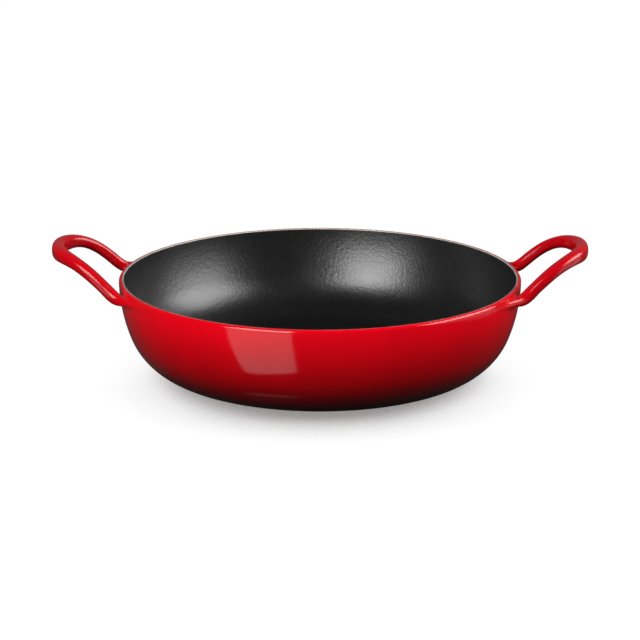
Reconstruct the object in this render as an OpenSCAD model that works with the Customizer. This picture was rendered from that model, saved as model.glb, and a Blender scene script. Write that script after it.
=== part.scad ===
// Shallow round cooking pan of enamelled cast iron, with two raised loop handles and no lid.
// The pan stands on Z = 0 with the origin under the middle of the bowl.
// +X points to the right-hand handle and +Z is up. All sizes are in millimetres.

/* [Bowl] */
// Outside diameter of the bowl at the rim
rim_d = 246; // [200:1:320]
// Height of the rim above the table
bowl_h = 59; // [48:0.5:75]
// Radius of the long upper curve of the wall
wall_curve_r = 95; // [85:1:150]
// Radius of the tighter curve that turns the wall into the base
heel_r = 40; // [25:1:50]
// How deep the flat of the base cuts into the heel curve
base_cut = 1.2; // [0.6:0.1:2.5]
// Thickness of the iron in the wall
iron_wall = 2.4; // [2:0.1:4.5]
// Thickness of the base through iron and enamel, measured at the ring it stands on
base_t = 4.5; // [3.5:0.1:8]
// Radius of the rounding on the outside of the rim
lip_r = 1.8; // [1:0.1:2.2]

/* [Foot] */
// Width of the flat ring that the pan stands on
foot_w = 10; // [5:0.5:20]
// Height of the hollow in the middle of the underside
foot_h = 0.3; // [0.2:0.1:1.5]

/* [Enamel] */
// Thickness of the enamel outside, underneath and along the rim
outer_enamel = 0.35; // [0.25:0.05:0.6]
// Thickness of the black enamel inside the bowl
inner_enamel = 0.25; // [0.2:0.05:0.6]

/* [Handles] */
// Distance from the rim to the middle of the bar at its outer end
loop_reach = 36.6; // [28:0.1:50]
// Distance between the middles of the two legs where they meet the bowl
leg_spacing = 73.3; // [56:0.1:100]
// Height of the middle of the bar above the rim at its outer end
loop_rise = 16.9; // [8:0.1:30]
// Depth of the middle of the legs below the rim where they meet the bowl
root_drop = 8; // [6.5:0.1:14]
// Squareness of the loop seen from above, where 2 is an ellipse
loop_square = 2.1; // [2:0.05:3]
// How gently the legs start to rise at the wall, where 1 is a sudden bend
rise_start = 1.45; // [1:0.05:2.5]
// How early the legs level off towards the outer end, where 1 is a sudden bend
rise_end = 2.2; // [1.2:0.05:3]
// Width of the bar seen from above, enamel included
bar_w = 8; // [7:0.1:12]
// Height of the bar in the legs, enamel included
leg_h = 7; // [6:0.1:10]
// Height of the bar at its outer end, enamel included
grip_h = 9.6; // [7:0.1:12]
// Width of each leg where it flares into the wall
root_w = 14; // [12:0.5:20]
// Height of each leg where it flares into the wall
root_h = 10; // [6:0.1:12]

/* [Hidden] */
$fn = 200;

// Steps along the handle and around its bar
loop_steps = 56;
bar_sides = 20;
// Share of the quarter turn from the outer end to the root at which the flare starts
flare_start = 0.85;
// Shares at which the bar starts and stops changing from its grip height to its leg height
grip_end = 0.1;
leg_start = 0.6;
// How far the untrimmed legs run on past the root, where the wall cuts them off, and how much
// they go on widening for each unit of that run
tail = 14;
tail_spread = 1.1;

rim_r = rim_d / 2;
wall_t = outer_enamel + iron_wall + inner_enamel;
// Centres of the wall's upper arc and of the lip's rounding
upper_centre = [rim_r - wall_curve_r, bowl_h];
lip_centre = [rim_r - lip_r, bowl_h - lip_r];
// Centres of the heel arc outside and inside, each touching the upper arc from within
outer_heel = heel_centre(-base_cut + heel_r);
inner_heel = heel_centre(base_t + heel_r - wall_t);
// Outer and inner radius of the ring that the pan stands on
foot_r = outer_heel[0] + sqrt(pow(heel_r, 2) - pow(outer_heel[1], 2));
foot_in_r = foot_r - foot_w;

// Place where the legs meet the wall, and the plan size of the loop from there
leg_y = leg_spacing / 2;
root_x = sqrt(pow(rim_r, 2) - pow(leg_y, 2));
loop_out = rim_r + loop_reach - root_x;
root_z = bowl_h - root_drop;
loop_climb = root_drop + loop_rise;

// Centre of a heel arc at height z
function heel_centre(z) =
    [upper_centre[0] + sqrt(pow(wall_curve_r - heel_r, 2) - pow(bowl_h - z, 2)), z];

// Height at which the upper arc hands over to the heel arc around centre c, inset from the outside
function handover(c, inset) =
    c[1] - (heel_r - inset) * (bowl_h - c[1]) / (wall_curve_r - heel_r);

// Smooth step from 0 to 1 while u runs from 0 to 1
function ease(u) = u < 0 ? 0 : u > 1 ? 1 : u * u * (3 - 2 * u);

// How much of the root's flare has grown at angle t, where 0 is the outer end and 90 the root
function flare(t) = pow(max(0, (abs(t) / 90 - flare_start) / (1 - flare_start)), 2);

// How far the bar has changed from grip to leg at angle t
function leg_share(t) = ease((abs(t) / 90 - grip_end) / (leg_start - grip_end));

// Width and height of the bar at angle t
function bar_width(t) = bar_w + (root_w - bar_w) * flare(t);
function bar_height(t) =
    grip_h + (leg_h - grip_h) * leg_share(t) + (root_h - leg_h) * flare(t);

// Middle of the bar at angle t. The flare widens the legs on their outer sides only.
function loop_plan(t) = pow(max(0, cos(t)), 2 / loop_square);
function loop_point(t) =
    [root_x + loop_out * loop_plan(t),
     sign(t) * (leg_y * pow(abs(sin(t)), 2 / loop_square) + (bar_width(t) - bar_w) / 2),
     root_z + loop_climb * pow(1 - pow(1 - loop_plan(t), rise_end), rise_start)];

function unit(v) = v / norm(v);
function loop_heading(t) = unit(loop_point(min(90, t + 1)) - loop_point(max(-90, t - 1)));

// One elliptical ring of the bar around point p, square to heading h
function ring(p, h, w, v) =
    let (side = unit(cross(h, [0, 0, 1])), up = cross(side, h))
    [for (i = [0 : bar_sides - 1])
        let (q = 360 * i / bar_sides) p + side * w * cos(q) + up * v * sin(q)];

// Ring at angle t, and the ring of a root carried on level into the bowl by `run`, where it
// widens on its outer side
function loop_ring(t, inset) =
    ring(loop_point(t), loop_heading(t), bar_width(t) / 2 - inset, bar_height(t) / 2 - inset);
function tail_ring(t, inset, run) =
    let (spread = tail_spread * run / 2)
    ring(loop_point(t) + [-run, sign(t) * spread, 0], [-sign(t), 0, 0],
         bar_width(t) / 2 + spread - inset, bar_height(t) / 2 - inset);

// Right-hand loop as a closed tube whose legs run on past the wall by `run`
module loop_bar(inset, run) {
    rings = concat(
        [tail_ring(-90, inset, run)],
        [for (i = [0 : loop_steps]) loop_ring(-90 + 180 * i / loop_steps, inset)],
        [tail_ring(90, inset, run)]);
    last = len(rings) - 1;
    points = [for (r = rings) each r];
    sides = [for (i = [0 : last - 1], j = [0 : bar_sides - 1])
        let (a = i * bar_sides + j, b = i * bar_sides + (j + 1) % bar_sides)
        each [[a, b, a + bar_sides], [b, b + bar_sides, a + bar_sides]]];
    start_cap = [for (j = [bar_sides - 1 : -1 : 0]) j];
    end_cap = [for (j = [0 : bar_sides - 1]) last * bar_sides + j];
    polyhedron(points, concat([start_cap], sides, [end_cap]));
}

// Half section of everything inside the surface that lies `inset` within the pan's outside
// wall, down to height `floor_z`, with its heel arc around centre c
module wall_section(c, inset, floor_z) {
    z = handover(c, inset);
    intersection() {
        translate(upper_centre) circle(wall_curve_r - inset);
        translate([0, z]) square([rim_r, bowl_h - z]);
    }
    intersection() {
        union() {
            translate(c) circle(heel_r - inset);
            translate([0, floor_z]) square([c[0], z - floor_z]);
        }
        translate([0, floor_z]) square([rim_r, z - floor_z]);
    }
}

// Half section of the closed outside of the pan, inset by the enamel or not, with the rim's
// rounding and with the hollow underneath
module outside_section(inset) {
    difference() {
        wall_section(outer_heel, inset, inset);
        translate([0, bowl_h - inset]) square([rim_r, inset + 1]);
        difference() {
            translate(lip_centre) square(2 * lip_r);
            translate(lip_centre) circle(lip_r - inset);
        }
        translate([0, -1]) square([foot_in_r + inset, foot_h + inset + 1]);
    }
}

// Half section of the hollow of the bowl at `inset` within the outside wall
module hollow_section(inset) {
    wall_section(inner_heel, inset, base_t - wall_t + inset);
}

// Closed solid of the pan's outside with no hollow, for trimming the handles to the wall
module trimming_body(inset) {
    rotate_extrude() wall_section(outer_heel, inset, inset);
}

module both_loops(inset, run) {
    loop_bar(inset, run);
    mirror([1, 0, 0]) loop_bar(inset, run);
}

// Iron of the bowl: base, wall and rim in one piece
module bowl_casting() {
    color("dimgray") rotate_extrude() difference() {
        outside_section(outer_enamel);
        hollow_section(outer_enamel + iron_wall);
    }
}

// Iron of the right-hand loop, cut where it grows out of the wall
module handle_casting() {
    difference() {
        loop_bar(outer_enamel, tail);
        trimming_body(outer_enamel);
    }
}

// Red enamel around the right-hand loop
module handle_enamel() {
    difference() {
        loop_bar(0, tail);
        loop_bar(outer_enamel, tail + 1);
        trimming_body(0);
    }
}

module right_handle_casting() {
    color("dimgray") handle_casting();
}

module left_handle_casting() {
    color("dimgray") mirror([1, 0, 0]) handle_casting();
}

module right_handle_enamel() {
    color("red") handle_enamel();
}

module left_handle_enamel() {
    color("red") mirror([1, 0, 0]) handle_enamel();
}

// Red enamel on the outside wall and over the lip, open where the handles grow through it
module bowl_outer_enamel() {
    color("red") difference() {
        rotate_extrude() difference() {
            outside_section(0);
            outside_section(outer_enamel);
            translate([0, -1]) square([rim_r, 1 + outer_enamel]);
            square([foot_in_r + outer_enamel, foot_h + outer_enamel]);
            translate([0, bowl_h - outer_enamel]) square([lip_centre[0], 2 * outer_enamel]);
        }
        both_loops(outer_enamel, tail);
    }
}

// Black enamel inside the bowl
module bowl_inner_enamel() {
    color("#232224") rotate_extrude() difference() {
        hollow_section(wall_t - inner_enamel);
        hollow_section(wall_t);
        translate([0, bowl_h - outer_enamel]) square([rim_r, 2 * outer_enamel]);
    }
}

// Bare ground coat on the flat of the rim, between the black enamel and the red
module rim_ground_coat() {
    color("#8a6f6c") rotate_extrude()
        translate([rim_r - wall_t, bowl_h - outer_enamel])
        square([wall_t - lip_r, outer_enamel]);
}

// Enamel underneath, with the flat ring that the pan stands on
module base_enamel() {
    color("#2a0708") rotate_extrude() intersection() {
        difference() {
            outside_section(0);
            outside_section(outer_enamel);
        }
        union() {
            square([rim_r, outer_enamel]);
            square([foot_in_r + outer_enamel, foot_h + outer_enamel]);
        }
    }
}

bowl_casting();
left_handle_casting();
right_handle_casting();
bowl_outer_enamel();
left_handle_enamel();
right_handle_enamel();
bowl_inner_enamel();
rim_ground_coat();
base_enamel();
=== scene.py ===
"""Looks of the two-handled enamelled cast iron pan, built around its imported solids.

The frame is the solids' own, in metres: +X to the right-hand handle, -Y to the front and +Z up.
"""

import math

import bmesh
import bpy
import numpy as np
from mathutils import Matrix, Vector


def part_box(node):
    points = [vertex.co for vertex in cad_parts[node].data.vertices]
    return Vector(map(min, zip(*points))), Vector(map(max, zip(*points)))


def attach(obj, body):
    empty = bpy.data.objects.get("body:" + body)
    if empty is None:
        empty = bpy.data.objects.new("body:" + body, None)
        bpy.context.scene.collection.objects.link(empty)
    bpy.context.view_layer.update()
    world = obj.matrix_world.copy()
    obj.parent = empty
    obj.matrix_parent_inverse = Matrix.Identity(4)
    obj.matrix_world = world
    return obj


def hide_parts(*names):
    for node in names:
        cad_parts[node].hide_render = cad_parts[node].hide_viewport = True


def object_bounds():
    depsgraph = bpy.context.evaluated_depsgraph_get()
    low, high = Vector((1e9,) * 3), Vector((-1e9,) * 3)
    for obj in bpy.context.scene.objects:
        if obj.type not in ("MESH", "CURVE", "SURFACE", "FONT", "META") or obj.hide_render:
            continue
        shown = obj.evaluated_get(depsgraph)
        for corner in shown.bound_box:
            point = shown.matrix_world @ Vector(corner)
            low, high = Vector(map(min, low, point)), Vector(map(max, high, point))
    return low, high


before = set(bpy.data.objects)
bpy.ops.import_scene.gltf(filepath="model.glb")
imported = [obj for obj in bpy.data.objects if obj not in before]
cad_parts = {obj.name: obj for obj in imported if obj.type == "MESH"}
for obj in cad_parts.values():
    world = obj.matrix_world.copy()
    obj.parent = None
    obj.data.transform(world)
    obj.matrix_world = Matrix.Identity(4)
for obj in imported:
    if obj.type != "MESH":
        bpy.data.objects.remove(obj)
cad_low, cad_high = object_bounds()

# ---------------------------------------------------------------- sizes, in metres and degrees

BODY = "root"
RIM_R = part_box("bowl_outer_enamel")[1].x
BOWL_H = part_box("bowl_outer_enamel")[1].z

# Arcs of the wall's section, as in the solids
WALL_CURVE_R = 0.095
HEEL_R = 0.040
BASE_CUT = 0.0012
WALL_T = 0.0030
BASE_T = 0.0045
LIP_R = 0.0018
OUTER_ENAMEL = 0.00035
INNER_ENAMEL = 0.00025
FOOT_W = 0.010
FOOT_H = 0.0003
# Bare ground coat on the rim: its depth, the rounding of its inner edge, how far it lies under the
# crown and how far it runs under the red enamel
BAND_DEPTH = 0.0012
RIM_ROUNDING = 0.0006
BAND_SINK = 0.00004
BAND_UNDER = 0.0004
# How far the red enamel's edge reaches over the rim, and how uneven it is
RED_OVER_RIM = 0.0004
EDGE_WAVE = 0.00004
# Radius of the last ring of a disc before its middle point
DISC_MIDDLE = 0.004

# Loops of the handles, as in the solids
LEG_SPACING = 0.0733
ROOT_DROP = 0.0080
LOOP_SQUARE = 2.1
RISE_START = 1.45
RISE_END = 2.2
BAR_W = 0.0080
LEG_H = 0.0070
GRIP_H = 0.0096
GRIP_END = 0.1
LEG_START = 0.6

# Squareness of the bar's section, where 2 is an ellipse
BAR_SQUARE = 2.8
# Root of each leg. The leg follows the loop up to an angle, turns to run along the rim and sinks
# into the wall, where a share of its section is left. The turn's tangents have set lengths.
TURN_T = 74.0
TURN_IN = 0.014
TURN_OUT = 0.022
END_Y = 0.066
END_Z = 0.0560
END_SINK = 0.0026
END_SIZE = 0.2
# How much taller the leg gets and how far it drops in the first part of the turn, up to this share
FLARE = 0.0012
TURN_DROP = 0.0022
FLARE_END = 0.35
# Fillets between leg and wall: on the side of the loop's middle, elsewhere, and at the lip's
# height, and how far below the lip they reach their full size
FILLET_IN = 0.009
FILLET_OUT = 0.0035
FILLET_TOP = 0.0008
FILLET_REACH = 0.006
# The root is a shell of its own beyond this angle, which the bar overlaps by some degrees. It goes
# this deep into the wall, and stays this far under its skin where there is no fillet. It is meshed
# on a grid of cells.
ROOT_T = 66.0
ROOT_OVERLAP = 1.0
ROOT_DEPTH = 0.0012
ROOT_UNDER = 0.00001
ROOT_CELL = 0.00045

# Steps of the meshes: around the bowl, around the bar, along the loop and along each root
BOWL_STEPS = 288
BAR_STEPS = 128
LOOP_STEPS = 420
ROOT_STEPS = 70

# Points closer than this are one, and lengths get this much so that none is zero
SAME_POINT = 1e-7
TINY = 1e-9
# Step in degrees for the loop's direction, and in metres for the slope of a distance
TURN_STEP = 0.2
SLOPE_STEP = 1e-5
# How many times a root's points are drawn to its surface, and how many are measured at a time
DRAWS = 3
BATCH = 5000

# Reds of the enamel with painted shade, by share of the bowl's height and by how far a handle's
# surface faces up
# Darker towards the base: partly the enamel's own shading, partly painted shade on the heel that
# faces down
BOWL_REDS_AND_PAINTED_SHADE = [(0.02, (0.012, 0.0002, 0.0002)), (0.16, (0.042, 0.0002, 0.0004)),
             (0.40, (0.27, 0.0002, 0.002)), (0.72, (0.54, 0.0003, 0.005)),
             (1.0, (0.70, 0.0005, 0.008))]
# Painted shade under the handles: a handle's red is darker where its surface faces down
HANDLE_REDS_PAINTED_SHADE = [(0.15, (0.14, 0.0002, 0.001)), (0.45, (0.38, 0.0003, 0.003)),
               (0.75, (0.52, 0.0005, 0.006))]
# Roughness of the enamel, lowest and highest, on the bowl and on the handles
RED_ROUGHNESS = [(0.06, 0.10), (0.17, 0.21)]

# Brightness of the room in front of the pan and behind it, where 1 is white
ROOM_FRONT = 0.02
ROOM_BACK = 0.16

# Floor: half its width, its own grey, how bright it glows in reflections and its gloss there
FLOOR_HALF = 6.0
FLOOR_GREY = 0.03
FLOOR_REFLECTED = 0.01
FLOOR_GLOSS = 0.17
FLOOR_ROUGHNESS = 0.05
# The floor is dull in a strip along Y beside the pan: the strip's middle, and how far from it the
# gloss starts and is full
DULL_X = 0.14
DULL_HALF = 0.10
GLOSS_FULL = 0.16
# Shade on the floor, which comes from how much the pan hides: its reach, how far it leans to the
# front, and its colours by the share that stays open
SHADE_REACH = 0.06
SHADE_LEAN = 1.0
SHADE_STOPS = [(0.1, (0.05, 0.02, 0.02)), (0.40, (1, 1, 1))]

# Softboxes: azimuth from the front, distance, height of the lower edge, width, height, radiance
KEY_SOFTBOX = (-33.5, 1.6, 0.12, 1.07, 1.60, 8.8)
SIDE_SOFTBOX = (88, 1.6, 0.15, 1.49, 1.55, 6.4)

# Camera: its direction and distance from the middle of the rim, the height it looks at, its lens
# and sensor in millimetres, and how far it sees
CAMERA_AZIMUTH = 0.275
CAMERA_ELEVATION = 14.88
CAMERA_DISTANCE = 1.70
CAMERA_AIM_Z = 0.0307
CAMERA_LENS = 156.15
CAMERA_SENSOR = 36
CAMERA_REACH = 50

rim_edge_r = RIM_R - LIP_R
upper_centre = np.array([RIM_R - WALL_CURVE_R, BOWL_H])


def heel_centre(z):
    """Middle of a heel arc at height z, which touches the wall's upper arc from within."""
    reach = math.sqrt((WALL_CURVE_R - HEEL_R) ** 2 - (BOWL_H - z) ** 2)
    return np.array([upper_centre[0] + reach, z])


outer_heel = heel_centre(HEEL_R - BASE_CUT)
inner_heel = heel_centre(BASE_T + HEEL_R - WALL_T)
foot_r = outer_heel[0] + math.sqrt(HEEL_R**2 - outer_heel[1] ** 2)
foot_in_r = foot_r - FOOT_W


# ---------------------------------------------------------------- meshes

def arc(centre, radius, start, end, steps):
    """Points in the section plane on an arc from angle `start` to `end`, in degrees."""
    angles = np.radians(np.linspace(start, end, steps + 1))
    return np.c_[centre[0] + radius * np.cos(angles), centre[1] + radius * np.sin(angles)]


def angle_of(centre, from_centre):
    """Angle in degrees, seen from `from_centre`, at which `centre` lies."""
    return math.degrees(math.atan2(centre[1] - from_centre[1], centre[0] - from_centre[0]))


def chain(*parts):
    """Joins stretches of a section and drops points that repeat."""
    points = np.concatenate([np.atleast_2d(p) for p in parts])
    gaps = np.linalg.norm(np.diff(points, axis=0), axis=1)
    return points[np.r_[True, gaps > SAME_POINT]]


def link_rings(count, size, closed):
    """Quads between `count` rings of `size` points, the last ring joined to the first if closed."""
    faces = []
    for i in range(count if closed else count - 1):
        a, b = i * size, (i + 1) % count * size
        faces += [(a + j, a + (j + 1) % size, b + (j + 1) % size, b + j) for j in range(size)]
    return faces


def fan(ring_start, size, middle):
    """Triangles from a ring to the point in its middle."""
    return [(ring_start + j, ring_start + (j + 1) % size, middle) for j in range(size)]


def shell(rings, closed):
    """Points and faces of a closed mesh through `rings`, with its ends closed."""
    count, size = rings.shape[:2]
    points = rings.reshape(-1, 3)
    faces = link_rings(count, size, closed)
    if not closed:
        points = np.r_[points, [rings[0].mean(0), rings[-1].mean(0)]]
        faces += fan(0, size, count * size)
        faces += fan((count - 1) * size, size, count * size + 1)
    return points, faces


def solid(name, points, faces, sharp=35):
    """A smooth mesh object, with edges kept sharp beyond an angle in degrees."""
    mesh = bpy.data.meshes.new(name)
    mesh.from_pydata(points.tolist(), [], faces)
    edit = bmesh.new()
    edit.from_mesh(mesh)
    bmesh.ops.remove_doubles(edit, verts=edit.verts, dist=SAME_POINT)
    bmesh.ops.recalc_face_normals(edit, faces=edit.faces)
    edit.to_mesh(mesh)
    edit.free()
    mesh.polygons.foreach_set("use_smooth", [True] * len(mesh.polygons))
    mesh.set_sharp_from_angle(angle=math.radians(sharp))
    piece = bpy.data.objects.new(name, mesh)
    bpy.context.scene.collection.objects.link(piece)
    return piece


def revolve(name, section, closed=True, wave=None):
    """Turns a section around Z. `wave` gives each point's share of the edge's unevenness."""
    angles = np.linspace(0, 2 * math.pi, BOWL_STEPS, endpoint=False)
    radii = np.repeat(section[:, :1], BOWL_STEPS, axis=1)
    if wave is not None:
        radii = radii + np.outer(wave, uneven(angles))
    heights = np.repeat(section[:, 1:], BOWL_STEPS, axis=1)
    rings = np.stack([radii * np.cos(angles), radii * np.sin(angles), heights], axis=2)
    return solid(name, *shell(rings, closed))


def uneven(angles):
    """Slight unevenness, in metres, of an enamel edge along the rim."""
    waves = [(5, 0.2), (9, 1.7), (14, 3.1), (23, 4.4), (37, 0.9)]
    return EDGE_WAVE * sum(np.sin(count * angles + phase) for count, phase in waves)


def dress(piece, slot, material, *nodes):
    """Gives a piece its material and lets it stand for the named solids. The slot is not used."""
    piece.data.materials.append(material)
    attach(piece, BODY)
    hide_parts(*nodes)
    return piece


# ---------------------------------------------------------------- bowl

def outside_section(inset, top, bottom):
    """The outside wall from the lip's crown to the foot, `inset` under the surface. It starts at
    radius `top` on the rim and ends at height `bottom`."""
    lip_tilt = math.degrees(math.asin(-LIP_R / (WALL_CURVE_R - LIP_R)))
    lip_x = upper_centre[0] + (WALL_CURVE_R - LIP_R) * math.cos(math.radians(lip_tilt))
    lip = arc((lip_x, BOWL_H - LIP_R), LIP_R - inset, 90, lip_tilt, 16)
    turn = angle_of(outer_heel, upper_centre)
    wall = arc(upper_centre, WALL_CURVE_R - inset, lip_tilt, turn, 30)
    end = -math.degrees(math.asin((outer_heel[1] - bottom) / (HEEL_R - inset)))
    heel = arc(outer_heel, HEEL_R - inset, turn, end, 30)
    return chain((top, BOWL_H - inset), lip, wall, heel)


def outer_enamel(material):
    """Red enamel from the rim's crown down to the base."""
    bottom = OUTER_ENAMEL
    skin = outside_section(0, rim_edge_r - RED_OVER_RIM, bottom)
    back = outside_section(OUTER_ENAMEL, rim_edge_r, bottom)[::-1]
    section = chain(skin, back)
    wave = np.zeros(len(section))
    wave[[0, -1]] = 1
    return dress(revolve("outer_enamel", section, wave=wave), "red_enamel", material,
                 "bowl_outer_enamel")


def inside_section(inset, top):
    """The inside wall from height `top` to the middle of the floor, `inset` under its surface."""
    wall_r = WALL_CURVE_R - WALL_T + inset
    heel_r = HEEL_R - WALL_T + inset
    start = math.degrees(math.asin((top - BOWL_H) / wall_r))
    turn = angle_of(inner_heel, upper_centre)
    wall = arc(upper_centre, wall_r, start, turn, 36)
    heel = arc(inner_heel, heel_r, turn, -90, 36)
    floor_z = inner_heel[1] - heel_r
    floor = [(r, floor_z) for r in np.linspace(inner_heel[0], DISC_MIDDLE, 12)]
    return chain(wall, heel, floor)


def inner_enamel(material):
    """Black enamel over the inside of the bowl."""
    top = BOWL_H - RIM_ROUNDING
    section = chain(inside_section(0, top)[::-1], inside_section(INNER_ENAMEL, top))
    return dress(revolve("inner_enamel", section, closed=False), "black_enamel", material,
                 "bowl_inner_enamel")


def rim_band(material):
    """Ground coat left bare on the rim, rounded over its inner edge."""
    inner_r = RIM_R - WALL_T
    outer_r = rim_edge_r + BAND_UNDER
    middle = (inner_r + RIM_ROUNDING, BOWL_H - RIM_ROUNDING)
    crown = arc(middle, RIM_ROUNDING - BAND_SINK, 180, 90, 8)
    low = BOWL_H - BAND_DEPTH
    under = [(outer_r, BOWL_H - BAND_SINK), (outer_r, low), (inner_r, low)]
    return dress(revolve("rim_band", chain(crown, under)), "ground_coat", material,
                 "rim_ground_coat")


def underside(material):
    """Enamel underneath: the ring that the pan stands on and the hollow in its middle."""
    edge = OUTER_ENAMEL
    outer = -math.degrees(math.asin((outer_heel[1] - edge) / HEEL_R))
    foot = -math.degrees(math.asin(outer_heel[1] / HEEL_R))
    rounding = FOOT_H / 2
    step_in = arc((foot_in_r + rounding, rounding), rounding, -90, -180, 5)
    step_up = arc((foot_in_r - rounding, FOOT_H - rounding), rounding, 0, 90, 5)
    skin = chain(arc(outer_heel, HEEL_R, outer, foot, 4), step_in, step_up,
                 [(r, FOOT_H) for r in np.linspace(foot_in_r - 0.002, DISC_MIDDLE, 8)])
    top = FOOT_H + edge
    back = [(foot_r - 0.001, edge + 0.0001), (foot_in_r, top), (DISC_MIDDLE, top)]
    return dress(revolve("underside", chain(skin[::-1], back), closed=False), "base_enamel",
                 material, "base_enamel")


# ---------------------------------------------------------------- handles

def ease(u):
    """Smooth rise from 0 to 1 as u goes from 0 to 1."""
    u = np.clip(u, 0, 1)
    return u * u * (3 - 2 * u)


leg_y = LEG_SPACING / 2
root_x = math.sqrt(RIM_R**2 - leg_y**2)
loop_out = cad_high.x - BAR_W / 2 - root_x
root_z = BOWL_H - ROOT_DROP
loop_climb = cad_high.z - GRIP_H / 2 - root_z


def bar_height(t):
    """Height of the bar at angle t, which is thinner in the legs than at the grip."""
    return GRIP_H + (LEG_H - GRIP_H) * ease((abs(t) / 90 - GRIP_END) / (LEG_START - GRIP_END))


def loop_point(t):
    """Middle of the bar at angle t in degrees, 0 at its outer end and 90 at the root."""
    cosine, sine = max(0, math.cos(math.radians(t))), math.sin(math.radians(t))
    plan = cosine ** (2 / LOOP_SQUARE)
    return np.array([
        root_x + loop_out * plan,
        math.copysign(leg_y * abs(sine) ** (2 / LOOP_SQUARE), sine),
        root_z + loop_climb * (1 - (1 - plan) ** RISE_END) ** RISE_START])


def unit(vectors):
    """Vectors of the same directions and length 1."""
    return vectors / np.linalg.norm(vectors, axis=-1, keepdims=True)


def loop_heading(t):
    """Direction of the bar's run at angle t."""
    return unit(loop_point(t + TURN_STEP) - loop_point(t - TURN_STEP))


def super_circle():
    """Sideways and upward shares of a super-ellipse, for the points around the bar."""
    angles = np.linspace(0, 2 * math.pi, BAR_STEPS, endpoint=False)
    cosine, sine = np.cos(angles), np.sin(angles)
    power = 2 / BAR_SQUARE
    return np.sign(cosine) * abs(cosine) ** power, np.sign(sine) * abs(sine) ** power


def bar_ring(t):
    """Points around the bar at angle t, square to its run."""
    heading = loop_heading(t)
    side = unit(np.cross(heading, (0, 0, 1)))
    up = np.cross(side, heading)
    across, along = super_circle()
    half_w, half_h = BAR_W / 2, bar_height(t) / 2
    return loop_point(t) + np.outer(across * half_w, side) + np.outer(along * half_h, up)


def leg_path():
    """Middle of the leg at +Y from the loop into the wall, with its half width and half height."""
    turns = np.linspace(ROOT_T - 2, TURN_T, ROOT_STEPS)
    bar = np.array([loop_point(t) for t in turns])
    bar_size = np.array([(BAR_W / 2, bar_height(t) / 2) for t in turns])
    angle = math.asin(END_Y / RIM_R)
    end_r = RIM_R - END_SINK
    end = np.array([end_r * math.cos(angle), end_r * math.sin(angle), END_Z])
    along = np.array([-math.sin(angle), math.cos(angle), 0])
    first = bar[-1] + unit(bar[-1] - bar[-2]) * TURN_IN
    second = end - along * TURN_OUT
    u = np.linspace(0, 1, ROOT_STEPS)[1:, None]
    v = 1 - u
    turn = v**3 * bar[-1] + 3 * v**2 * u * first + 3 * v * u**2 * second + u**3 * end
    grown = ease(u / FLARE_END)
    turn_size = (1 - (1 - END_SIZE) * ease(u)) * (bar_size[-1] + grown * (0, FLARE / 2))
    turn[:, 2:] -= TURN_DROP * grown * (1 - u)
    return np.r_[bar, turn], np.r_[bar_size, turn_size]


def leg_gap(points, path, sizes):
    """Distance of points from the leg's surface, and how far sideways they lie, from -1 to 1."""
    heading = unit(np.gradient(path, axis=0))
    side = unit(np.cross(heading, (0, 0, 1)))
    up = np.cross(side, heading)
    nearest = np.concatenate([((part[:, None] - path) ** 2).sum(2).argmin(1)
                              for part in np.array_split(points, len(points) // BATCH + 1)])
    offset = points - path[nearest]
    sideways = (offset * side[nearest]).sum(1)
    upward = (offset * up[nearest]).sum(1)
    ahead = np.where(nearest == len(path) - 1, (offset @ heading[-1]).clip(0), 0)
    half_w, half_h = sizes[nearest].T
    spans = abs(np.stack([sideways / half_w, upward / half_h, ahead / half_w]))
    fill = ((spans**BAR_SQUARE).sum(0) + TINY) ** (1 / BAR_SQUARE)
    reach = np.sqrt(sideways**2 + upward**2 + ahead**2) + TINY
    return reach * (1 - 1 / fill), sideways / reach


def wall_gap(points):
    """Distance of points from the bowl's outside, negative within it."""
    r, z = np.hypot(points[:, 0], points[:, 1]), points[:, 2]
    lip_tilt = math.asin(-LIP_R / (WALL_CURVE_R - LIP_R))
    lip_x = upper_centre[0] + (WALL_CURVE_R - LIP_R) * math.cos(lip_tilt)
    lip = np.hypot(np.clip(r - lip_x, 0, None), z - (BOWL_H - LIP_R)) - LIP_R
    wall = np.hypot(r - upper_centre[0], z - BOWL_H) - WALL_CURVE_R
    return np.where(z > BOWL_H - LIP_R, lip, wall)


def root_fields(points, path, sizes):
    """Distances from the filleted root and from the faces that end it inside wall and bar."""
    leg, sideways = leg_gap(points, path, sizes)
    wall = wall_gap(points)
    inner = np.clip(-sideways, 0, None) ** 2
    full = FILLET_OUT + (FILLET_IN - FILLET_OUT) * inner
    below = ease((BOWL_H - points[:, 2]) / FILLET_REACH)
    fillet = FILLET_TOP + (full - FILLET_TOP) * below
    under = wall + ROOT_UNDER
    merge = np.clip(1 - abs(leg - under) / fillet, 0, None)
    skin = np.minimum(leg, under) - merge**2 * fillet / 4
    before_root = (loop_point(ROOT_T) - points) @ loop_heading(ROOT_T)
    too_deep = -(wall + ROOT_DEPTH)
    too_far = leg - full - ROOT_DEPTH
    over_rim = rim_edge_r - np.hypot(points[:, 0], points[:, 1])
    return skin, np.maximum.reduce([before_root, too_deep, too_far, over_rim])


def even_out(field):
    """Averages a grid with its neighbours, so that no crease crosses a cell twice."""
    for axis in range(3):
        field = (np.roll(field, 1, axis) + 2 * field + np.roll(field, -1, axis)) / 4
    return field


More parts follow.
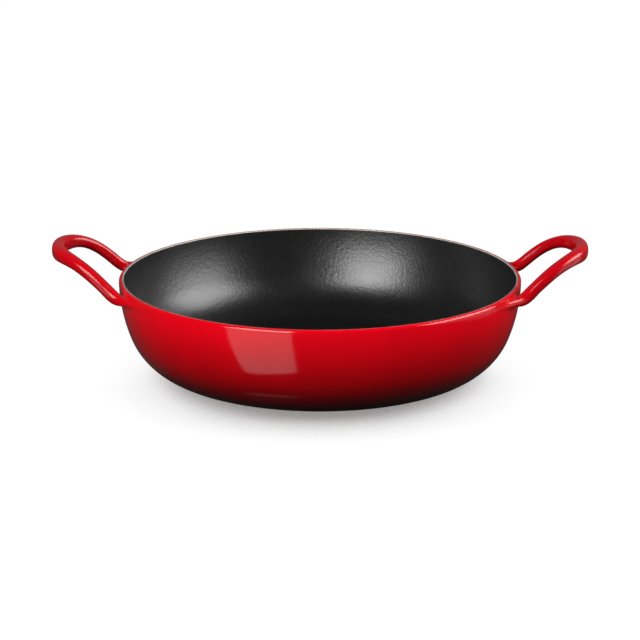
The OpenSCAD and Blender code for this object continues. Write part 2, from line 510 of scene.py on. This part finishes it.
def surface_net(field, low, cell):
    """Points and quads of the surface where a grid of samples crosses zero."""
    corners, places = [], []
    steps = np.eye(3, dtype=int)
    for axis in range(3):
        step, a, b = np.roll(steps, -axis, axis=0)
        edge = np.argwhere(np.diff(field < 0, axis=axis))
        here, there = field[tuple(edge.T)], field[tuple((edge + step).T)]
        around = np.stack([edge, edge - a, edge - a - b, edge - b], axis=1).reshape(-1, 3)
        corners.append(np.ravel_multi_index(around.T, field.shape))
        places.append(np.repeat(edge + step * (here / (here - there))[:, None], 4, axis=0))
    _, corner = np.unique(np.concatenate(corners), return_inverse=True)
    corner, places = corner.ravel(), np.concatenate(places)
    points = [np.bincount(corner, places[:, i]) / np.bincount(corner) for i in range(3)]
    return low + np.stack(points, axis=1) * cell, corner.reshape(-1, 4)


def leg_root():
    """Points and faces of the root of the leg at +Y, smoothly joined to the bowl."""
    path, sizes = leg_path()
    margin = BAR_W / 2 + FILLET_OUT + ROOT_DEPTH + 3 * ROOT_CELL
    low = path.min(0) - margin - (0, FILLET_IN, 0)
    high = path.max(0) + margin
    axes = [np.arange(a, b, ROOT_CELL) for a, b in zip(low, high)]
    grid = np.stack(np.meshgrid(*axes, indexing="ij"), axis=3)
    field = np.maximum(*root_fields(grid.reshape(-1, 3), path, sizes)).reshape(grid.shape[:3])
    points, faces = surface_net(even_out(field), low, ROOT_CELL)
    for _ in range(DRAWS):
        skin, ends = root_fields(points, path, sizes)
        slope = np.stack([root_fields(points + step, path, sizes)[0]
                          - root_fields(points - step, path, sizes)[0]
                          for step in SLOPE_STEP * np.eye(3)], axis=1)
        slope /= 2 * SLOPE_STEP
        shift = slope * (skin / (slope**2).sum(1))[:, None]
        points = np.where((skin > ends)[:, None], points - shift, points)
    return points, faces.tolist()


def handle(name, side, root, material, *nodes):
    """One loop: a bar and its two roots. Side is 1 for right and -1 for left."""
    end = ROOT_T + ROOT_OVERLAP
    turns = np.linspace(-end, end, LOOP_STEPS + 1)
    points, faces = shell(np.array([bar_ring(t) for t in turns]), False)
    root_points, root_faces = root
    for mirror in ((1, 1, 1), (1, -1, 1)):
        faces = faces + [tuple(i + len(points) for i in face) for face in root_faces]
        points = np.r_[points, root_points * mirror]
    points = points * (side, 1, 1)
    return dress(solid(name, points, faces, sharp=50), "red_enamel", material, *nodes)


# ---------------------------------------------------------------- materials

def new_material(name, **sockets):
    """A material with one Principled shader, whose sockets get the given constants."""
    material = bpy.data.materials.new(name)
    material.use_nodes = True
    shader = material.node_tree.nodes["Principled BSDF"]
    for socket, value in sockets.items():
        shader.inputs[socket.replace("_", " ")].default_value = value
    return material, shader


def add_node(tree, kind, **settings):
    """A node of the given kind. Settings name its properties."""
    node = tree.nodes.new(kind)
    for key, value in settings.items():
        setattr(node, key, value)
    return node


def noise(tree, scale, detail):
    """Output of a noise texture in the object's own coordinates. Scale is in cells per metre."""
    place = add_node(tree, "ShaderNodeTexCoord")
    texture = add_node(tree, "ShaderNodeTexNoise")
    texture.inputs["Scale"].default_value = scale
    texture.inputs["Detail"].default_value = detail
    tree.links.new(place.outputs["Object"], texture.inputs["Vector"])
    return texture.outputs["Fac"]


def remap(tree, source, low, high, from_low=0.3, from_high=0.7):
    """Output that runs from `low` to `high` as the source goes over its middle range."""
    node = add_node(tree, "ShaderNodeMapRange")
    node.inputs["From Min"].default_value = from_low
    node.inputs["From Max"].default_value = from_high
    node.inputs["To Min"].default_value = low
    node.inputs["To Max"].default_value = high
    tree.links.new(source, node.inputs["Value"])
    return node.outputs["Result"]


def ramp(tree, source, stops):
    """Colour output of a ramp with (position, colour) stops."""
    node = add_node(tree, "ShaderNodeValToRGB")
    node.color_ramp.interpolation = "B_SPLINE"
    elements = node.color_ramp.elements
    while len(elements) < len(stops):
        elements.new(0.5)
    for element, (position, colour) in zip(elements, stops):
        element.position = position
        element.color = (*colour, 1)
    tree.links.new(source, node.inputs["Fac"])
    return node.outputs["Color"]


def bump(tree, shader, *layers):
    """Stacks bump layers of (height output, height in metres) on a shader."""
    previous = None
    for source, distance in layers:
        node = add_node(tree, "ShaderNodeBump")
        node.inputs["Distance"].default_value = distance
        tree.links.new(source, node.inputs["Height"])
        if previous:
            tree.links.new(previous, node.inputs["Normal"])
        previous = node.outputs["Normal"]
    tree.links.new(previous, shader.inputs["Normal"])


def tint(tree, colour, source, low, high):
    """The colour, made darker or lighter by `low` to `high` as the source varies."""
    node = add_node(tree, "ShaderNodeMix", data_type="RGBA", blend_type="MULTIPLY")
    node.inputs["Factor"].default_value = 1
    grey = add_node(tree, "ShaderNodeCombineColor")
    level = remap(tree, source, low, high)
    for channel in ("Red", "Green", "Blue"):
        tree.links.new(level, grey.inputs[channel])
    tree.links.new(colour, node.inputs[6])
    tree.links.new(grey.outputs["Color"], node.inputs[7])
    return node.outputs[2]


def height_share(tree):
    """Output that runs from 0 at the table to 1 at the rim."""
    place = add_node(tree, "ShaderNodeTexCoord")
    split = add_node(tree, "ShaderNodeSeparateXYZ")
    tree.links.new(place.outputs["Object"], split.inputs["Vector"])
    return remap(tree, split.outputs["Z"], 0, 1, 0, BOWL_H)


def upward_share(tree):
    """Output that runs from 0 where a surface faces down to 1 where it faces up. It sets the
    painted shade under the handles.
    """
    place = add_node(tree, "ShaderNodeTexCoord")
    split = add_node(tree, "ShaderNodeSeparateXYZ")
    tree.links.new(place.outputs["Normal"], split.inputs["Vector"])
    return remap(tree, split.outputs["Z"], 0, 1, -1, 1)


def out_from_wall(tree):
    """Output that runs from 0 on the bowl's wall to 1 out on a handle."""
    place = add_node(tree, "ShaderNodeTexCoord")
    flat = add_node(tree, "ShaderNodeVectorMath", operation="MULTIPLY")
    flat.inputs[1].default_value = (1, 1, 0)
    tree.links.new(place.outputs["Object"], flat.inputs[0])
    radius = add_node(tree, "ShaderNodeVectorMath", operation="LENGTH")
    tree.links.new(flat.outputs["Vector"], radius.inputs[0])
    return remap(tree, radius.outputs["Value"], 0, 1, RIM_R, RIM_R + BAR_W)


def blend(tree, share, first, second):
    """Colour that goes from the first to the second as the share goes from 0 to 1."""
    node = add_node(tree, "ShaderNodeMix", data_type="RGBA")
    tree.links.new(share, node.inputs["Factor"])
    tree.links.new(first, node.inputs[6])
    tree.links.new(second, node.inputs[7])
    return node.outputs[2]


def red_enamel_material(name, on_handle):
    """Gloss red enamel with a faint orange peel. It runs to a dark red at the base of the bowl,
    partly the enamel's own shading and partly painted shade on the heel that faces down, and on a
    handle it has painted shade underneath."""
    material, shader = new_material(name, IOR=1.5)
    shader.inputs["Specular IOR Level"].default_value = 0.4
    tree = material.node_tree
    # Darker towards the base: partly the enamel's own shading, partly painted shade on the heel
    colour = ramp(tree, height_share(tree), BOWL_REDS_AND_PAINTED_SHADE)
    if on_handle:
        # Painted shade: on a handle the red darkens where the surface faces down
        loop_colour_painted_shade = ramp(tree, upward_share(tree), HANDLE_REDS_PAINTED_SHADE)
        colour = blend(tree, out_from_wall(tree), colour, loop_colour_painted_shade)
    colour = tint(tree, colour, noise(tree, 45, 3), 0.95, 1.05)
    tree.links.new(colour, shader.inputs["Base Color"])
    roughness = remap(tree, noise(tree, 120, 3), *RED_ROUGHNESS[on_handle])
    tree.links.new(roughness, shader.inputs["Roughness"])
    bump(tree, shader, (noise(tree, 150, 1), 0.000008))
    return material


def black_enamel_material():
    """Satin black enamel with a fine grain."""
    material, shader = new_material("black_enamel", IOR=1.5)
    shader.inputs["Specular IOR Level"].default_value = 0.8
    tree = material.node_tree
    colour = ramp(tree, noise(tree, 700, 3), [(0.3, (0.0045, 0.0044, 0.0048)),
                                              (0.7, (0.0085, 0.0083, 0.0090))])
    tree.links.new(colour, shader.inputs["Base Color"])
    tree.links.new(remap(tree, noise(tree, 60, 4), 0.30, 0.34), shader.inputs["Roughness"])
    bump(tree, shader, (noise(tree, 1100, 3), 0.00006), (noise(tree, 420, 2), 0.0001))
    return material


def ground_coat_material():
    """Thin grey ground coat, satin and a little uneven."""
    material, shader = new_material("ground_coat", IOR=1.5)
    tree = material.node_tree
    colour = ramp(tree, noise(tree, 260, 4), [(0.3, (0.32, 0.28, 0.27)),
                                              (0.7, (0.50, 0.45, 0.43))])
    tree.links.new(colour, shader.inputs["Base Color"])
    tree.links.new(remap(tree, noise(tree, 300, 3), 0.28, 0.42), shader.inputs["Roughness"])
    bump(tree, shader, (noise(tree, 1400, 3), 0.00003))
    return material


def base_enamel_material():
    """Dark satin enamel underneath."""
    material, shader = new_material("base_enamel", IOR=1.5)
    tree = material.node_tree
    colour = ramp(tree, noise(tree, 60, 4), [(0.3, (0.010, 0.0008, 0.0009)),
                                             (0.7, (0.018, 0.0016, 0.0016))])
    tree.links.new(colour, shader.inputs["Base Color"])
    tree.links.new(remap(tree, noise(tree, 90, 4), 0.22, 0.36), shader.inputs["Roughness"])
    bump(tree, shader, (noise(tree, 500, 3), 0.00004))
    return material


def iron_material():
    """Cast iron, which the enamel covers."""
    material, shader = new_material("iron", Metallic=1.0)
    tree = material.node_tree
    colour = ramp(tree, noise(tree, 220, 5), [(0.3, (0.12, 0.115, 0.11)),
                                              (0.7, (0.2, 0.195, 0.19))])
    tree.links.new(colour, shader.inputs["Base Color"])
    tree.links.new(remap(tree, noise(tree, 400, 4), 0.55, 0.75), shader.inputs["Roughness"])
    bump(tree, shader, (noise(tree, 800, 4), 0.0002))
    return material


# ---------------------------------------------------------------- stage, lights and camera

def direction(azimuth, elevation):
    """Unit vector from the pan, azimuth 0 to the front and 90 to the right-hand handle."""
    a, e = math.radians(azimuth), math.radians(elevation)
    return Vector((math.sin(a) * math.cos(e), -math.cos(a) * math.cos(e), math.sin(e)))


def softbox(name, azimuth, distance, bottom, width, height, radiance):
    """An upright rectangular lamp that faces the pan's axis, its lower edge at height `bottom`.
    Radiance 1 is white to the eye."""
    lamp = bpy.data.lights.new(name, "AREA")
    lamp.shape = "RECTANGLE"
    lamp.size, lamp.size_y = width, height
    lamp.energy = radiance * width * height * math.pi
    box = bpy.data.objects.new(name, lamp)
    box.location = direction(azimuth, 0) * distance + Vector((0, 0, bottom + height / 2))
    box.rotation_euler = direction(azimuth, 0).to_track_quat("Z", "Y").to_euler()
    bpy.context.scene.collection.objects.link(box)


def gloss_share(tree):
    """Gloss of the floor, which is dull in a strip beside the pan."""
    place = add_node(tree, "ShaderNodeTexCoord")
    split = add_node(tree, "ShaderNodeSeparateXYZ")
    tree.links.new(place.outputs["Object"], split.inputs["Vector"])
    away = add_node(tree, "ShaderNodeMath", operation="SUBTRACT")
    away.inputs[1].default_value = DULL_X
    tree.links.new(split.outputs["X"], away.inputs[0])
    reach = add_node(tree, "ShaderNodeMath", operation="ABSOLUTE")
    tree.links.new(away.outputs[0], reach.inputs[0])
    return remap(tree, reach.outputs[0], 0, FLOOR_GLOSS, DULL_HALF, GLOSS_FULL)


def floor_material():
    """Floor that is white to the eye, dark in reflections and shaded close to the pan. Its slight
    gloss shows only in reflections."""
    material = bpy.data.materials.new("floor")
    material.use_nodes = True
    tree = material.node_tree
    tree.nodes.clear()
    out = add_node(tree, "ShaderNodeOutputMaterial")
    matt = add_node(tree, "ShaderNodeBsdfDiffuse")
    matt.inputs["Color"].default_value = (*[FLOOR_GREY] * 3, 1)
    shine = add_node(tree, "ShaderNodeBsdfGlossy")
    shine.inputs["Roughness"].default_value = FLOOR_ROUGHNESS
    shade = add_node(tree, "ShaderNodeAmbientOcclusion", samples=8)
    shade.inputs["Distance"].default_value = SHADE_REACH
    lean = add_node(tree, "ShaderNodeCombineXYZ")
    lean.inputs["Y"].default_value = SHADE_LEAN
    lean.inputs["Z"].default_value = 1
    tree.links.new(lean.outputs["Vector"], shade.inputs["Normal"])
    glow = add_node(tree, "ShaderNodeEmission")
    tree.links.new(ramp(tree, shade.outputs["AO"], SHADE_STOPS), glow.inputs["Color"])
    path = add_node(tree, "ShaderNodeLightPath")
    mirrored = path.outputs["Is Glossy Ray"]
    strength = add_node(tree, "ShaderNodeMath", operation="MULTIPLY_ADD")
    strength.inputs[1].default_value = FLOOR_REFLECTED
    tree.links.new(mirrored, strength.inputs[0])
    seen = add_node(tree, "ShaderNodeMath", operation="MAXIMUM")
    tree.links.new(path.outputs["Is Camera Ray"], seen.inputs[0])
    tree.links.new(path.outputs["Is Transmission Ray"], seen.inputs[1])
    tree.links.new(seen.outputs[0], strength.inputs[2])
    tree.links.new(strength.outputs[0], glow.inputs["Strength"])
    polish = add_node(tree, "ShaderNodeMath", operation="MULTIPLY")
    tree.links.new(gloss_share(tree), polish.inputs[1])
    tree.links.new(mirrored, polish.inputs[0])
    coat = add_node(tree, "ShaderNodeCombineColor")
    for channel in ("Red", "Green", "Blue"):
        tree.links.new(polish.outputs[0], coat.inputs[channel])
    tree.links.new(coat.outputs["Color"], shine.inputs["Color"])
    total = matt
    for extra in (shine, glow):
        both = add_node(tree, "ShaderNodeAddShader")
        tree.links.new(total.outputs[0], both.inputs[0])
        tree.links.new(extra.outputs[0], both.inputs[1])
        total = both
    tree.links.new(total.outputs[0], out.inputs["Surface"])
    return material


def make_floor():
    """The surface that the pan stands on."""
    mesh = bpy.data.meshes.new("floor")
    half = FLOOR_HALF
    corners = [(-half, -half, 0), (half, -half, 0), (half, half, 0), (-half, half, 0)]
    mesh.from_pydata(corners, [], [(0, 1, 2, 3)])
    floor = bpy.data.objects.new("floor", mesh)
    mesh.materials.append(floor_material())
    bpy.context.scene.collection.objects.link(floor)


def light_studio():
    """A dim room, a little brighter behind the pan, and two softboxes."""
    world = bpy.data.worlds.new("studio")
    world.use_nodes = True
    tree = world.node_tree
    tree.nodes["Background"].inputs["Color"].default_value = (1, 1, 1, 1)
    place = add_node(tree, "ShaderNodeTexCoord")
    split = add_node(tree, "ShaderNodeSeparateXYZ")
    tree.links.new(place.outputs["Generated"], split.inputs["Vector"])
    level = remap(tree, split.outputs["Y"], ROOM_FRONT, ROOM_BACK, 0, 1)
    tree.links.new(level, tree.nodes["Background"].inputs["Strength"])
    bpy.context.scene.world = world
    softbox("key_softbox", *KEY_SOFTBOX)
    softbox("side_softbox", *SIDE_SOFTBOX)


def place_camera():
    """Camera in front of the pan, as far away and as high as the picture was taken from."""
    rim = Vector((0, 0, BOWL_H))
    aim = Vector((0, 0, CAMERA_AIM_Z))
    lens = bpy.data.cameras.new("camera")
    lens.lens = CAMERA_LENS
    lens.sensor_width = CAMERA_SENSOR
    lens.clip_end = CAMERA_REACH
    camera = bpy.data.objects.new("camera", lens)
    camera.location = rim + direction(CAMERA_AZIMUTH, CAMERA_ELEVATION) * CAMERA_DISTANCE
    camera.rotation_euler = (camera.location - aim).to_track_quat("Z", "Y").to_euler()
    bpy.context.scene.collection.objects.link(camera)
    bpy.context.scene.camera = camera


# ---------------------------------------------------------------- scene

bowl_red = red_enamel_material("red_enamel", False)
# The handles have their own copy of the red, with painted shade underneath and rougher gloss
handle_red_painted_shade = red_enamel_material("red_handle_enamel_painted_shade", True)
iron = iron_material()
outer_enamel(bowl_red)
inner_enamel(black_enamel_material())
rim_band(ground_coat_material())
underside(base_enamel_material())
root = leg_root()
handle("right_handle", 1, root, handle_red_painted_shade, "right_handle_enamel", "right_handle_casting")
handle("left_handle", -1, root, handle_red_painted_shade, "left_handle_enamel", "left_handle_casting")
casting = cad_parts["bowl_casting"].data
casting.materials.clear()
casting.materials.append(iron)

place_camera()
make_floor()
light_studio()
bpy.context.scene.view_settings.view_transform = "Standard"
